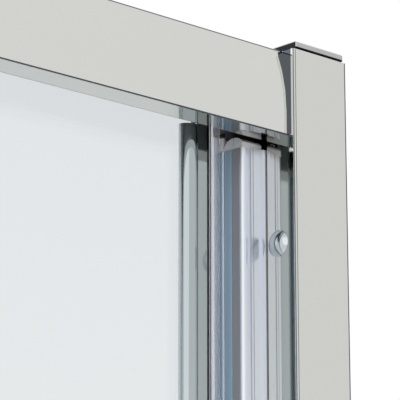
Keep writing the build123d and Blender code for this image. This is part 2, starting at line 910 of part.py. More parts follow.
# Closing seal on the sliding pane's leading edge: a hollow bulb on a web and a rear leg
with BuildPart() as closing_seal:
    with BuildSketch(Plane.XY.offset(pane_bottom)):
        web_x = pane_right_x + seal_wall
        bulb_x = strike_x - cushion_proud - seat_gap - bulb_radius
        rear_y = y_at(pane_rear)
        span(pane_right_x, web_x, y_at(pane_front), rear_y + seal_wall)
        span(pane_right_x - seal_leg, web_x, rear_y, rear_y + seal_wall)
        span(web_x, bulb_x, middle_y - seal_wall, middle_y + seal_wall)
        with Locations((bulb_x, middle_y)):
            Circle(bulb_radius)
            Circle(bulb_radius - seal_fin, mode=Mode.SUBTRACT)
    extrude(amount=rail_bottom - seat_gap - pane_bottom)
save(closing_seal, "closing_seal")

# Drip seal under the sliding pane: a U on the edge, a centre blade and a slanted front fin
with BuildPart() as drip_seal:
    drip_x0 = pane_left_x + seal_leg + seat_gap
    drip_x1 = pane_right_x - seal_leg - seat_gap
    with BuildSketch(across(drip_x0)):
        half_seal = half_glass + seal_wall
        blade_tip = sill_deck + guide_base + small_screw_head_height + seal_wall
        span(middle_y - half_seal, middle_y + half_seal, pane_bottom - seal_wall, pane_bottom + seal_leg)
        span(middle_y - half_glass, middle_y + half_glass, pane_bottom, pane_bottom + seal_leg, Mode.SUBTRACT)
        span(middle_y - seal_fin / 2, middle_y + seal_fin / 2, blade_tip, pane_bottom - seal_wall / 2)
    extrude(amount=drip_x1 - drip_x0)
save(drip_seal, "drip_seal")

# Hanger plates: stamped steel, each with a hole for the wheel's axle between two bolt holes
for x, name in zip(hanger_xs, ("left", "right")):
    with BuildPart() as hanger_plate_part:
        with BuildSketch(facing_room(x, plate_front, 0)) as outline:
            span(-hanger_length / 2, hanger_length / 2, plate_bottom, hanger_top)
            chamfer(outline.vertices(), hanger_corner)
            with Locations((0, wheel_z)):
                Circle(axle_radius, mode=Mode.SUBTRACT)
            with Locations(*[(s * bolt_pitch / 2, bolt_z) for s in (-1, 1)]):
                Circle(bolt_radius + screw_play, mode=Mode.SUBTRACT)
        extrude(amount=-hanger_plate)
    save(hanger_plate_part, f"hanger_plate_{name}")

# Carriage bolts and nuts that clamp the hanger plates to the carrier rail's fin
with BuildPart() as hanger_bolts:
    for x in bolt_xs:
        pan_screw(
            facing_room(x, fin_front, bolt_z),
            bolt_radius,
            rail_fin + hanger_plate + nut_height,
            bolt_head_radius,
            bolt_head,
        )
save(hanger_bolts, "hanger_bolts")

with BuildPart() as hanger_nuts:
    for x in bolt_xs:
        with BuildSketch(facing_room(x, plate_rear, bolt_z)):
            RegularPolygon(nut_radius, 6)
            Circle(bolt_radius, mode=Mode.SUBTRACT)
        extrude(amount=-nut_height)
save(hanger_nuts, "hanger_nuts")

# Headed axles riveted in the hanger plates, and the bearings' inner races, which reach to the plates
with BuildPart() as wheel_axles:
    for x in hanger_xs:
        peg(facing_room(x, plate_front, wheel_z), axle_radius, race_rear - plate_front)
        peg(facing_room(x, race_rear, wheel_z), axle_head_radius, axle_head)
save(wheel_axles, "wheel_axles")

with BuildPart() as inner_races:
    for x in hanger_xs:
        peg(facing_room(x, plate_rear, wheel_z), bearing_bore + bearing_race, race_rear - plate_rear)
        bore(facing_room(x, plate_rear, wheel_z), bearing_bore, race_rear - plate_rear)
save(inner_races, "inner_races")

# Grooved nylon wheels and the outer races pressed into them
for number, x in enumerate(hanger_xs, 1):
    hub = facing_room(x, wheel_middle, wheel_z)
    upright = Plane(origin=hub.origin, x_dir=(1, 0, 0), z_dir=(0, 0, 1))
    spin = Axis(hub.origin, (0, 1, 0))
    half = wheel_width / 2
    flank = track_bead_width / 2 + wheel_groove_play
    with BuildPart() as wheel:
        with BuildSketch(upright):
            with BuildLine():
                Polyline(
                    (bearing_radius, -half),
                    (wheel_flange_radius, -half),
                    (wheel_tread_radius, -flank),
                    (wheel_tread_radius, flank),
                    (wheel_flange_radius, half),
                    (bearing_radius, half),
                    close=True,
                )
            make_face()
        revolve(axis=spin)
    save(wheel, f"wheel_{number}")
    with BuildPart() as race:
        with BuildSketch(upright):
            span(bearing_radius - bearing_race, bearing_radius, -bearing_width / 2, bearing_width / 2)
        revolve(axis=spin)
    save(race, f"outer_race_{number}")

# Nylon saddles that stop the hangers from jumping off the track
with BuildPart() as lift_pads:
    for x in hanger_xs:
        block(
            x - pad_length / 2,
            x + pad_length / 2,
            y_at(plate_front - pad_wall),
            y_at(plate_rear + pad_wall),
            fin_top + pad_gap,
            header_inside - pad_gap,
        )
        block(
            x - pad_length / 2,
            x + pad_length / 2,
            y_at(plate_front),
            y_at(plate_rear),
            fin_top,
            hanger_top,
            Mode.SUBTRACT,
        )
save(lift_pads, "lift_pads")

# Travel stops on the track, each with a rubber buffer towards the hangers and one screw
stop_front = plate_front + stop_clearance
stop_rear = rear_wall_inner - seat_gap
with BuildPart() as track_stops:
    for side, x in stop_faces:
        x0, x1 = x, x + side * stop_length
        z0, z1 = rail_top + stop_clearance * 2, rail_top + stop_clearance * 2 + stop_height
        block(x0, x1, y_at(stop_front), y_at(stop_rear), z0, z1)
        block(x0, x1, y_at(wheel_front), y_at(stop_rear), track_top, z1)
        bead_half = track_bead_width / 2 + seat_gap
        block(
            x0,
            x1,
            y_at(wheel_middle) - bead_half,
            y_at(wheel_middle) + bead_half,
            track_top,
            bead_top + seat_gap,
            Mode.SUBTRACT,
        )
        bore(
            Plane(((x0 + x1) / 2, y_at(stop_screw_depth), z1)),
            small_screw_radius + screw_play,
            z1 - track_top,
        )
save(track_stops, "track_stops")

with BuildPart() as stop_buffers:
    for side, x in stop_faces:
        with BuildSketch(Plane.YZ.offset(x)) as pad:
            span(y_at(stop_front), y_at(wheel_front), z0 + seat_gap, z1 - seat_gap)
            chamfer(pad.vertices(), rail_edge_round)
        extrude(amount=-side * buffer_thickness)
save(stop_buffers, "stop_buffers")

with BuildPart() as stop_screws:
    for x in stop_screw_xs:
        pan_screw(
            Plane((x, y_at(stop_screw_depth), z1)),
            small_screw_radius,
            z1 - track_bottom + seat_gap,
            small_screw_head,
            small_screw_head_height,
        )
save(stop_screws, "stop_screws")

# Bottom guide: a nylon trough on the deck that the sliding pane's foot runs through
with BuildPart() as bottom_guide:
    with BuildSketch(across(guide_x)) as trough:
        reach_out = half_seal + guide_gap
        base_half = reach_out + 2 * guide_wall
        top_z = sill_deck + guide_rise
        span(middle_y - base_half, middle_y + base_half, sill_deck, sill_deck + guide_base)
        for s in (-1, 1):
            span(middle_y + s * reach_out, middle_y + s * (reach_out + guide_wall), sill_deck, top_z)
        chamfer(trough.vertices().group_by(Axis.Y)[-1], rail_edge_round)
    extrude(amount=guide_length)
    for x in guide_screw_xs:
        bore(
            Plane((x, middle_y, sill_deck + guide_base)),
            small_screw_radius + screw_play,
            guide_base,
        )
save(bottom_guide, "bottom_guide")

with BuildPart() as guide_screws:
    for x in guide_screw_xs:
        pan_screw(
            Plane((x, middle_y, sill_deck + guide_base)),
            small_screw_radius,
            guide_base + 2 * metal_wall,
            small_screw_head,
            small_screw_head_height,
        )
save(guide_screws, "guide_screws")
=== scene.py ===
import math

import bpy
import numpy as np
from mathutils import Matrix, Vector


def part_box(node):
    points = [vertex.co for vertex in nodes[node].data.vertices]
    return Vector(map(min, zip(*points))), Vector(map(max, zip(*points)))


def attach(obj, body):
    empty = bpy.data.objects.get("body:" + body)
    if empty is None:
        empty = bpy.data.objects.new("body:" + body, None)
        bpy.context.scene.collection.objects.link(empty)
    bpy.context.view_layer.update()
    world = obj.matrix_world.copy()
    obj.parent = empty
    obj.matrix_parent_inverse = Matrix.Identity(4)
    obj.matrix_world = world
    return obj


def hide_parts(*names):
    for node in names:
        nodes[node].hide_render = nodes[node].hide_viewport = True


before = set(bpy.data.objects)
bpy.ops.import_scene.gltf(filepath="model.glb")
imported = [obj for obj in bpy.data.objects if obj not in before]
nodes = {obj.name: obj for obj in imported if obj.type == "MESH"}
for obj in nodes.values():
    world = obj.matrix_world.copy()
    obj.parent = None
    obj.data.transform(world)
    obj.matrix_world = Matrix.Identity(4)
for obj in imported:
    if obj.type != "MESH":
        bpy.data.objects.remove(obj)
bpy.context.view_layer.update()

print("frame loaded:", len(nodes), "nodes")


def boxOf(node):
    low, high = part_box(node)
    return np.array(low, float), np.array(high, float)


# shader helpers
def newMaterial(name):
    mat = bpy.data.materials.new(name)
    mat.use_nodes = True
    tree = mat.node_tree
    return mat, tree, tree.nodes["Principled BSDF"]


def objectPattern(tree, stretch, scale, detail=4.0):
    coord = tree.nodes.new("ShaderNodeTexCoord")
    mapping = tree.nodes.new("ShaderNodeMapping")
    mapping.inputs["Scale"].default_value = stretch
    noise = tree.nodes.new("ShaderNodeTexNoise")
    noise.inputs["Scale"].default_value = scale
    noise.inputs["Detail"].default_value = detail
    tree.links.new(coord.outputs["Object"], mapping.inputs["Vector"])
    tree.links.new(mapping.outputs["Vector"], noise.inputs["Vector"])
    return noise.outputs["Fac"]


def ramp(tree, value, stops):
    node = tree.nodes.new("ShaderNodeValToRGB")
    while len(node.color_ramp.elements) < len(stops):
        node.color_ramp.elements.new(0.5)
    for element, (place, colour) in zip(node.color_ramp.elements, stops):
        element.position = place
        element.color = (*colour, 1.0)
    tree.links.new(value, node.inputs["Fac"])
    return node.outputs["Color"]


def spread(tree, value, low, high):
    node = tree.nodes.new("ShaderNodeMapRange")
    node.inputs["To Min"].default_value = low
    node.inputs["To Max"].default_value = high
    tree.links.new(value, node.inputs["Value"])
    return node.outputs["Result"]


def calculate(tree, operation, *values):
    node = tree.nodes.new("ShaderNodeMath")
    node.operation = operation
    for socket, value in zip(node.inputs, values):
        if isinstance(value, float):
            socket.default_value = value
        else:
            tree.links.new(value, socket)
    return node.outputs["Value"]


def objectAxes(tree):
    coord = tree.nodes.new("ShaderNodeTexCoord")
    split = tree.nodes.new("ShaderNodeSeparateXYZ")
    tree.links.new(coord.outputs["Object"], split.inputs["Vector"])
    return {
        "x": calculate(tree, "ABSOLUTE", split.outputs["X"]),
        "y": split.outputs["Y"],
        "z": split.outputs["Z"],
    }


def paintedEdgeShade(tree, colour, paintedShadeLines, shade):
    # painted shade and reflection: 1 inside any of the narrow boxes that follow the section's edges, where the
    # metal is painted darker to stand in for the shade and dark reflections at those edges
    axes = objectAxes(tree)
    total = 0.0
    for limits in paintedShadeLines:
        inside = 1.0
        for axis, (low, high) in limits.items():
            near = calculate(tree, "COMPARE", axes[axis], (low + high) / 2, (high - low) / 2)
            inside = calculate(tree, "MULTIPLY", inside, near)
        total = calculate(tree, "MAXIMUM", total, inside)
    mix = tree.nodes.new("ShaderNodeMix")
    mix.data_type = "RGBA"
    firstColour, secondColour, mixedColour = 6, 7, 2  # where the Mix node keeps its colour sockets
    tree.links.new(total, mix.inputs["Factor"])
    tree.links.new(colour, mix.inputs[firstColour])
    mix.inputs[secondColour].default_value = (*shade, 1.0)
    return mix.outputs[mixedColour]


def bump(tree, value, shader, distance):
    node = tree.nodes.new("ShaderNodeBump")
    node.inputs["Distance"].default_value = distance
    tree.links.new(value, node.inputs["Height"])
    tree.links.new(node.outputs["Normal"], shader.inputs["Normal"])


def grained(name, look):
    mat, tree, shader = newMaterial(name)
    shader.inputs["Metallic"].default_value = look.get("metal", 0.0)
    if "inside" in look:  # past this Y the section is raw metal, which mirrors less than its polished face
        raw = calculate(tree, "GREATER_THAN", objectAxes(tree)["y"], look["inside"])
        tree.links.new(spread(tree, raw, look["metal"], look["rawMetal"]), shader.inputs["Metallic"])
    shader.inputs["Coat Weight"].default_value = look.get("coat", 0.0)
    grain = objectPattern(tree, look["stretch"], look["scale"])
    colour = ramp(tree, grain, [(0.3, look["dark"]), (0.7, look["light"])])
    if "paintedShadeLines" in look:
        colour = paintedEdgeShade(tree, colour, look["paintedShadeLines"], look["shade"])
    tree.links.new(colour, shader.inputs["Base Color"])
    tree.links.new(spread(tree, grain, *look["rough"]), shader.inputs["Roughness"])
    if "depth" in look:
        bump(tree, grain, shader, look["depth"])
    return mat


def clearGlass(name, look):
    mat, tree, shader = newMaterial(name)
    shader.inputs["Transmission Weight"].default_value = 1.0
    shader.inputs["IOR"].default_value = look["bend"]
    # painted shade: the tint goes from low to high between the two heights of the fade, so the pane is painted
    # darker towards the header
    paintedShadeFade = tree.nodes.new("ShaderNodeMapRange")
    paintedShadeFade.inputs["From Min"].default_value = look["paintedShadeFade"][0]
    paintedShadeFade.inputs["From Max"].default_value = look["paintedShadeFade"][1]
    tree.links.new(objectAxes(tree)["z"], paintedShadeFade.inputs["Value"])
    tint = ramp(tree, paintedShadeFade.outputs["Result"], [(0.0, look["low"]), (1.0, look["high"])])
    tree.links.new(tint, shader.inputs["Base Color"])
    film = objectPattern(tree, look["stretch"], look["scale"], look["detail"])
    tree.links.new(spread(tree, film, *look["rough"]), shader.inputs["Roughness"])
    absorb = tree.nodes.new("ShaderNodeVolumeAbsorption")
    absorb.inputs["Color"].default_value = (*look["body"], 1.0)
    absorb.inputs["Density"].default_value = look["density"]
    tree.links.new(absorb.outputs["Volume"], tree.nodes["Material Output"].inputs["Volume"])
    return mat


def softVinyl(name, look):
    mat, tree, shader = newMaterial(name)
    shader.inputs["Transmission Weight"].default_value = look["through"]
    shader.inputs["IOR"].default_value = look["bend"]
    cloud = objectPattern(tree, look["stretch"], look["scale"])
    colour = ramp(tree, cloud, [(0.3, look["dark"]), (0.7, look["light"])])
    tree.links.new(colour, shader.inputs["Base Color"])
    tree.links.new(spread(tree, cloud, *look["rough"]), shader.inputs["Roughness"])
    return mat


# how the tone drifts: slowly up a jamb, slowly along a rail, or in specks too small to see
upright = (3.0, 3.0, 0.8)
crossing = (0.8, 3.0, 3.0)
fine = (300.0, 300.0, 300.0)

# where the frame has the edges that carry painted dark lines of shade and reflection
jambLow, jambHigh = boxOf("jamb_right")
railLow, railHigh = boxOf("header_rail")
capSide = boxOf("jamb_cap_right")[0][0]
slotFront = boxOf("header_gaskets")[0][1]
strikeFront = boxOf("strike_profile")[0][1]


def band(place, before, after):
    return place - before, place + after


# each line is a thin box round an edge, painted darker as shade and reflection, in metres, with x measured from
# the middle to either side
jambPaintedShadeLines = [
    {"x": band(jambLow[0], 0.0002, 0.0004), "y": band(jambLow[1], 0.0002, 0.0005)},  # inner front edge
    {"x": band(jambHigh[0], 0.0008, 0.0008), "y": band(jambLow[1], 0.0002, 0.0010)},  # outer front edge
    {"x": band(jambLow[0], 0.0002, 0.0004), "y": band(strikeFront, 0.0004, 0.0008)},  # beside the strike
    {"x": band(jambLow[0], 0.0002, 0.0002), "y": band(railLow[1], 0.0018, 0.0040),
     "z": (railLow[2] + 0.0005, jambHigh[2] + 0.0001)},  # painted shadow on the jamb beside the header's end
]
railPaintedShadeLines = [
    {"y": band(railLow[1], 0.0003, 0.0012), "z": (railLow[2] + 0.00004, railLow[2] + 0.0007)},  # bottom front
    {"y": (railLow[1] + 0.0028, railLow[1] + 0.0052), "z": (railHigh[2] - 0.0015, railHigh[2] - 0.0001)},  # top
    {"y": band(slotFront, 0.0008, 0.0002), "z": band(railLow[2], 0.0005, 0.0003)},  # rear of the lip
]
capPaintedShadeLines = [
    {"z": band(jambHigh[2], 0.0, 0.00105)},  # painted shade in the gap under the plate
    {"y": band(jambLow[1], 0.0002, 0.0004), "z": (jambHigh[2] + 0.0010, jambHigh[2] + 0.0015)},  # its front
    {"x": band(capSide, 0.0006, 0.0006), "z": (jambHigh[2] + 0.0008, jambHigh[2] + 0.0040)},  # its inner side
]

# finishes, each with its own settings
finishLooks = {
    "jambMetal": {"dark": (0.600, 0.606, 0.578), "light": (0.622, 0.628, 0.600), "rough": (0.05, 0.07),
                  "stretch": upright, "scale": 1.0, "metal": 1.0, "paintedShadeLines": jambPaintedShadeLines,
                  "shade": (0.10, 0.11, 0.13)},
    "railMetal": {"dark": (0.625, 0.632, 0.602), "light": (0.655, 0.662, 0.630), "rough": (0.05, 0.07),
                  "stretch": crossing, "scale": 1.0, "metal": 1.0, "paintedShadeLines": railPaintedShadeLines,
                  "shade": (0.08, 0.09, 0.10), "inside": slotFront - 0.0003, "rawMetal": 0.25},
    # painted reflection: the pull strip's polished metal has a darker, cooler base colour, standing in for the
    # darker surroundings it mirrors
    "stripMetal": {"dark": (0.36, 0.40, 0.42), "light": (0.44, 0.48, 0.50), "rough": (0.05, 0.09),
                   "stretch": upright, "scale": 4.0, "metal": 1.0},
    # painted reflection: the strike's base colour is tinted blue, standing in for the blue-grey surroundings
    # its faces mirror
    "strikeMetal": {"dark": (0.72, 0.75, 0.81), "light": (0.80, 0.83, 0.88), "rough": (0.12, 0.2),
                    "stretch": upright, "scale": 4.0, "metal": 0.6},
    "millMetal": {"dark": (0.46, 0.47, 0.48), "light": (0.56, 0.57, 0.58), "rough": (0.28, 0.42),
                  "stretch": (400.0, 400.0, 1.2), "scale": 1.0, "metal": 1.0},
    # painted reflection: the caps' polished metal has a darker base colour, standing in for the darker
    # surroundings it mirrors
    "capMetal": {"dark": (0.43, 0.425, 0.42), "light": (0.48, 0.475, 0.47), "rough": (0.03, 0.06),
                 "stretch": (8.0, 8.0, 8.0), "scale": 6.0, "metal": 1.0, "paintedShadeLines": capPaintedShadeLines,
                 "shade": (0.02, 0.02, 0.025)},
    # painted reflection: the domed covers' chrome has a darker, bluish base colour, standing in for the darker
    # surroundings it mirrors
    "chrome": {"dark": (0.46, 0.50, 0.53), "light": (0.56, 0.60, 0.63), "rough": (0.02, 0.04),
               "stretch": (8.0, 8.0, 8.0), "scale": 6.0, "metal": 1.0},
    "steel": {"dark": (0.50, 0.50, 0.51), "light": (0.62, 0.62, 0.63), "rough": (0.22, 0.34),
              "stretch": (120.0, 120.0, 120.0), "scale": 3.0, "metal": 1.0, "depth": 0.00001},
    "cushion": {"dark": (0.30, 0.47, 0.60), "light": (0.36, 0.53, 0.66), "rough": (0.28, 0.4),
                "stretch": (300.0, 300.0, 12.0), "scale": 1.0, "coat": 0.3, "depth": 0.00002},
    "blackRubber": {"dark": (0.018, 0.018, 0.019), "light": (0.034, 0.034, 0.036), "rough": (0.45, 0.62),
                    "stretch": fine, "scale": 1.0, "depth": 0.00001},
    "blackNylon": {"dark": (0.016, 0.016, 0.018), "light": (0.03, 0.03, 0.032), "rough": (0.32, 0.45),
                   "stretch": fine, "scale": 2.0, "depth": 0.00001},
    "whiteNylon": {"dark": (0.78, 0.79, 0.80), "light": (0.88, 0.88, 0.88), "rough": (0.18, 0.28),
                   "stretch": (160.0, 160.0, 160.0), "scale": 2.0, "coat": 0.2, "depth": 0.00001},
    "greyLiner": {"dark": (0.16, 0.16, 0.17), "light": (0.22, 0.22, 0.23), "rough": (0.4, 0.55),
                  "stretch": (200.0, 200.0, 200.0), "scale": 2.0},
}
finishes = {name: grained(name, look) for name, look in finishLooks.items()}
# painted shade: the glass tint darkens between the two heights of the fade, towards the header
glassLook = {"paintedShadeFade": (1.55, 1.86), "low": (0.867, 0.854, 0.866), "high": (0.802, 0.800, 0.836),
             "stretch": (1.0, 1.0, 1.0), "scale": 3.0, "detail": 2.0, "rough": (0.0, 0.01), "bend": 1.5,
             "body": (0.30, 0.72, 0.58), "density": 14.0}
finishes["glass"] = clearGlass("clearPane", glassLook)
vinylLook = {"through": 0.85, "bend": 1.3, "dark": (0.86, 0.88, 0.92), "light": (0.95, 0.96, 0.99),
             "stretch": (60.0, 60.0, 3.0), "scale": 4.0, "rough": (0.08, 0.2)}
finishes["vinyl"] = softVinyl("clearVinyl", vinylLook)

# which nodes wear each finish
wearing = {
    "jambMetal": ["jamb_left", "jamb_right"],
    "railMetal": ["header_rail", "bottom_rail", "slot_cover", "carrier_rail"],
    "stripMetal": ["pull_profile"],
    "strikeMetal": ["strike_profile"],
    "millMetal": ["wall_channel_left", "wall_channel_right"],
    "capMetal": ["jamb_cap_left", "jamb_cap_right"],
    "chrome": ["screw_covers"],
    "steel": ["jamb_screws", "block_screws", "hanger_plate_left", "hanger_plate_right", "hanger_bolts",
              "hanger_nuts", "wheel_axles", "inner_races", "stop_screws", "guide_screws",
              "outer_race_1", "outer_race_2"],
    "glass": ["fixed_glass", "sliding_glass"],
    "vinyl": ["fixed_edge_seal", "overlap_seal", "closing_seal", "drip_seal"],
    "cushion": ["strike_cushions"],
    "blackRubber": ["header_gaskets", "bottom_gaskets", "jamb_gaskets", "setting_blocks", "stop_buffers"],
    "blackNylon": ["header_block_left", "header_block_right", "track_stops"],
    "whiteNylon": ["strike_plug_top", "strike_plug_foot", "lift_pads", "bottom_guide", "wheel_1", "wheel_2"],
    "greyLiner": ["carrier_liner"],
}
for finish, wearers in wearing.items():
    for name in wearers:
        data = nodes[name].data
        data.materials.clear()
        data.materials.append(finishes[finish])
print("finishes set:", len(finishes))


# shape helpers
def softOutline(corners, rounding, steps=5):
    # each corner C is a parabola (1-s)^2 A + 2s(1-s) C + s^2 B, with A and B a rounding away on either side
    corners = np.asarray(corners, float)
    toLast = np.roll(corners, 1, axis=0) - corners
    toNext = np.roll(corners, -1, axis=0) - corners
    toLast /= np.linalg.norm(toLast, axis=1, keepdims=True)
    toNext /= np.linalg.norm(toNext, axis=1, keepdims=True)
    start = (corners + toLast * rounding)[:, None]
    end = (corners + toNext * rounding)[:, None]
    s = np.linspace(0.0, 1.0, steps)[None, :, None]
    curve = (1 - s) ** 2 * start + 2 * s * (1 - s) * corners[:, None] + s**2 * end
    return curve.reshape(-1, 2)


def runAlong(outline, axis, low, high):
    # point (i, t) is outline point i across the axis and low + (high - low) t along it
    x, y = outline.T
    if np.sum(x * np.roll(y, -1) - np.roll(x, -1) * y) < 0:
        outline = outline[::-1]
    count = len(outline)
    across = np.tile(outline, (2, 1))
    along = np.repeat([low, high], count)
    columns = [across, along] if axis == "z" else [along, across]
    ring = np.arange(count)
    after = np.roll(ring, -1)
    sides = np.column_stack([ring, after, after + count, ring + count])
    return np.column_stack(columns), sides, [ring[::-1], ring + count]


def tubeAlong(centre, outer, inner, low, high, around=32):
    # point (a, k) turns angle a on one of four rings: outer low, outer high, inner high, inner low
    angle = np.linspace(0.0, 2 * np.pi, around, endpoint=False)
    radius = np.array([outer, outer, inner, inner])[:, None]
    x = centre[0] + radius * np.cos(angle)
    y = centre[1] + radius * np.sin(angle)
    z = np.broadcast_to(np.array([low, high, high, low])[:, None], x.shape)
    grid = np.arange(4 * around).reshape(4, around)
    turned = np.roll(grid, -1, axis=1)
    sides = np.stack([grid, turned, np.roll(turned, -1, axis=0), np.roll(grid, -1, axis=0)], axis=-1)
    return np.stack([x, y, z], axis=-1).reshape(-1, 3), sides.reshape(-1, 4), []


def addPiece(name, shapes, finish, body, replaced):
    shifts = np.cumsum([0] + [len(points) for points, _, _ in shapes[:-1]])
    points = np.concatenate([points for points, _, _ in shapes])
    sides = np.concatenate([sides + shift for (_, sides, _), shift in zip(shapes, shifts)])
    ends = [end + shift for (_, _, caps), shift in zip(shapes, shifts) for end in caps]
    mesh = bpy.data.meshes.new(name)
    mesh.from_pydata(points.tolist(), [], sides.tolist() + [end.tolist() for end in ends])
    mesh.polygons.foreach_set("use_smooth", np.arange(len(mesh.polygons)) < len(sides))
    mesh.set_sharp_from_angle(angle=math.radians(40))
    mesh.materials.append(finishes[finish])
    piece = bpy.data.objects.new(name, mesh)
    bpy.context.scene.collection.objects.link(piece)
    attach(piece, body)
    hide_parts(replaced)
    return piece


paneLow, paneHigh = boxOf("sliding_glass")
fixedLow, fixedHigh = boxOf("fixed_glass")
paneMiddle = (paneLow[1] + paneHigh[1]) / 2

# closing seal: a leg and a web on the leading edge, and a hollow bulb that meets the strike
closingLook = {"wall": 0.001, "bulbRadius": 0.0032, "bulbWall": 0.0008, "bite": 0.0002, "rounding": 0.0003}


def closingSeal(look):
    low, high = boxOf("closing_seal")
    wall = look["wall"]
    inner = look["bulbRadius"] - look["bulbWall"]
    bulbX = high[0] - look["bulbRadius"]
    armEnd = bulbX - inner - look["bite"]  # inside the bulb's wall, short of its hollow
    edge, back = paneHigh[0], paneHigh[0] + wall
    corners = [
        (low[0], paneHigh[1]), (edge, paneHigh[1]), (edge, paneLow[1]), (back, paneLow[1]),
        (back, paneMiddle - wall), (armEnd, paneMiddle - wall), (armEnd, paneMiddle + wall),
        (back, paneMiddle + wall), (back, high[1]), (low[0], high[1]),
    ]
    clip = runAlong(softOutline(corners, look["rounding"]), "z", low[2], high[2])
    bulb = tubeAlong((bulbX, paneMiddle), look["bulbRadius"], inner, low[2], high[2])
    addPiece("closingSealVinyl", [clip, bulb], "vinyl", "door", "closing_seal")


# edge seals where the panes overlap: a clip over the edge and a fin that wipes the other pane
edgeLook = {"wall": 0.001, "fin": 0.00095, "root": 0.0004, "rootWidth": 1.5, "rounding": 0.0003,
            "clearance": 0.0003}


def edgeSeal(name, node, body, paneBox, side, finLow, look):
    # side is 1 on a pane's high X edge with the fin towards +Y, and -1 for the reverse
    low, high = boxOf(node)
    edge = paneBox[1][0] if side > 0 else paneBox[0][0]
    near = paneBox[1][1] if side > 0 else paneBox[0][1]
    thick = paneBox[1][1] - paneBox[0][1]
    leg = edge - low[0] if side > 0 else high[0] - edge
    tip = high[0] - edge if side > 0 else edge - low[0]
    reach = high[1] - near if side > 0 else near - low[1]
    wall, fin, root = look["wall"], look["fin"], look["root"]
    # both outlines are drawn from the pane's corner, where its edge meets its near face
    clip = [(-leg, 0), (0, 0), (0, -thick), (-leg, -thick), (-leg, -thick - wall), (wall, -thick - wall),
            (wall, wall), (-leg, wall)]
    blade = [(wall, wall - root), (tip, reach), (tip - fin, reach),
             (wall - look["rootWidth"] * fin, wall - root)]
    place = np.array([edge, near])
    clipLine = softOutline(np.array(clip) * side + place, look["rounding"])
    bladeLine = softOutline(np.array(blade) * side + place, look["rounding"])
    shapes = [runAlong(clipLine, "z", low[2], high[2]), runAlong(bladeLine, "z", finLow, high[2])]
    addPiece(name, shapes, "vinyl", body, node)


# drip seal: a clip under the pane with a centre blade over the sill
dripLook = {"wall": 0.001, "blade": 0.0008, "flare": 0.0004, "rounding": 0.0003}


def dripSeal(look):
    low, high = boxOf("drip_seal")
    base = paneLow[2] - look["wall"]
    clip = [
        (low[1], high[2]), (low[1], base), (high[1], base), (high[1], high[2]),
        (paneHigh[1], high[2]), (paneHigh[1], paneLow[2]), (paneLow[1], paneLow[2]), (paneLow[1], high[2]),
    ]
    half, root = look["blade"] / 2, paneLow[2] - look["wall"] / 2
    blade = [(paneMiddle - half, root), (paneMiddle - half, low[2]), (paneMiddle + half, low[2]),
             (paneMiddle + half + look["flare"], root)]
    shapes = [runAlong(softOutline(line, look["rounding"]), "x", low[0], high[0]) for line in (clip, blade)]
    addPiece("dripSealVinyl", shapes, "vinyl", "door", "drip_seal")


# cushions of the strike: two crowned strips with a rib between them
cushionLook = {"width": 0.006, "crown": 0.0003, "rounding": 0.0009}


def strikeCushions(look):
    low, high = boxOf("strike_cushions")
    shapes = []
    for near in (low[1], high[1] - look["width"]):
        far = near + look["width"]
        crest = low[0] + look["crown"]
        corners = [(high[0], near), (high[0], far), (crest, far), (low[0], (near + far) / 2), (crest, near)]
        shapes.append(runAlong(softOutline(corners, look["rounding"]), "z", low[2], high[2]))
    addPiece("strikeCushionStrips", shapes, "cushion", "frame", "strike_cushions")


# glazing wedges round the fixed pane, each with a rounded lip against the glass
wedgeLook = {"bite": 0.012, "taper": 0.3, "rounding": 0.0005}


def wedgeLine(wall, glass, lip, deep, look):
    # across the slot first, then into it: thick at the lip, and thinner past its middle
    slim = glass + (wall - glass) * look["taper"]
    corners = [(wall, lip), (glass, lip), (glass, (lip + deep) / 2), (slim, deep), (wall, deep)]
    return softOutline(corners, look["rounding"])


def glazingWedges(look):
    bite = look["bite"]
    low, high = boxOf("header_gaskets")
    front = wedgeLine(low[1], fixedLow[1], low[2], low[2] + bite, look)
    rear = wedgeLine(high[1], fixedHigh[1], high[2] - bite, high[2], look)
    shapes = [runAlong(line, "x", low[0], high[0]) for line in (front, rear)]
    addPiece("headerWedges", shapes, "blackRubber", "frame", "header_gaskets")
    low, high = boxOf("bottom_gaskets")
    front = wedgeLine(low[1], fixedLow[1], high[2], high[2] - bite, look)
    rear = wedgeLine(high[1], fixedHigh[1], low[2] + bite, low[2], look)
    shapes = [runAlong(line, "x", low[0], high[0]) for line in (front, rear)]
    addPiece("bottomWedges", shapes, "blackRubber", "frame", "bottom_gaskets")
    low, high = boxOf("jamb_gaskets")
    front = wedgeLine(low[1], fixedLow[1], high[0], low[0], look)[:, ::-1]
    rear = wedgeLine(high[1], fixedHigh[1], high[0], low[0], look)[:, ::-1]
    shapes = [runAlong(line, "z", low[2], high[2]) for line in (front, rear)]
    addPiece("jambWedges", shapes, "blackRubber", "frame", "jamb_gaskets")


# rubber buffers on the travel stops, and the soft liner in the carrier rail
bufferLook = {"thick": 0.004, "rounding": 0.0014, "liner": 0.0002}


def buffersAndLiner(look):
    low, high = boxOf("stop_buffers")
    corners = [(low[1], low[2]), (high[1], low[2]), (high[1], high[2]), (low[1], high[2])]
    line = softOutline(corners, look["rounding"], steps=9)
    starts = (low[0], high[0] - look["thick"])
    shapes = [runAlong(line, "x", start, start + look["thick"]) for start in starts]
    addPiece("stopBufferPads", shapes, "blackRubber", "frame", "stop_buffers")
    low, high = boxOf("carrier_liner")
    corners = [
        (low[1], low[2]), (low[1], high[2]), (high[1], high[2]), (high[1], low[2]),
        (paneHigh[1], low[2]), (paneHigh[1], paneHigh[2]), (paneLow[1], paneHigh[2]), (paneLow[1], low[2]),
    ]
    shapes = [runAlong(softOutline(corners, look["liner"]), "x", low[0], high[0])]
    addPiece("carrierLinerStrip", shapes, "greyLiner", "door", "carrier_liner")


# domed covers over the jamb screws, turned from one smooth profile
domeLook = {"height": 0.0034, "rim": 0.00025, "rimPower": 6, "crown": 0.02, "rings": 14, "around": 64}


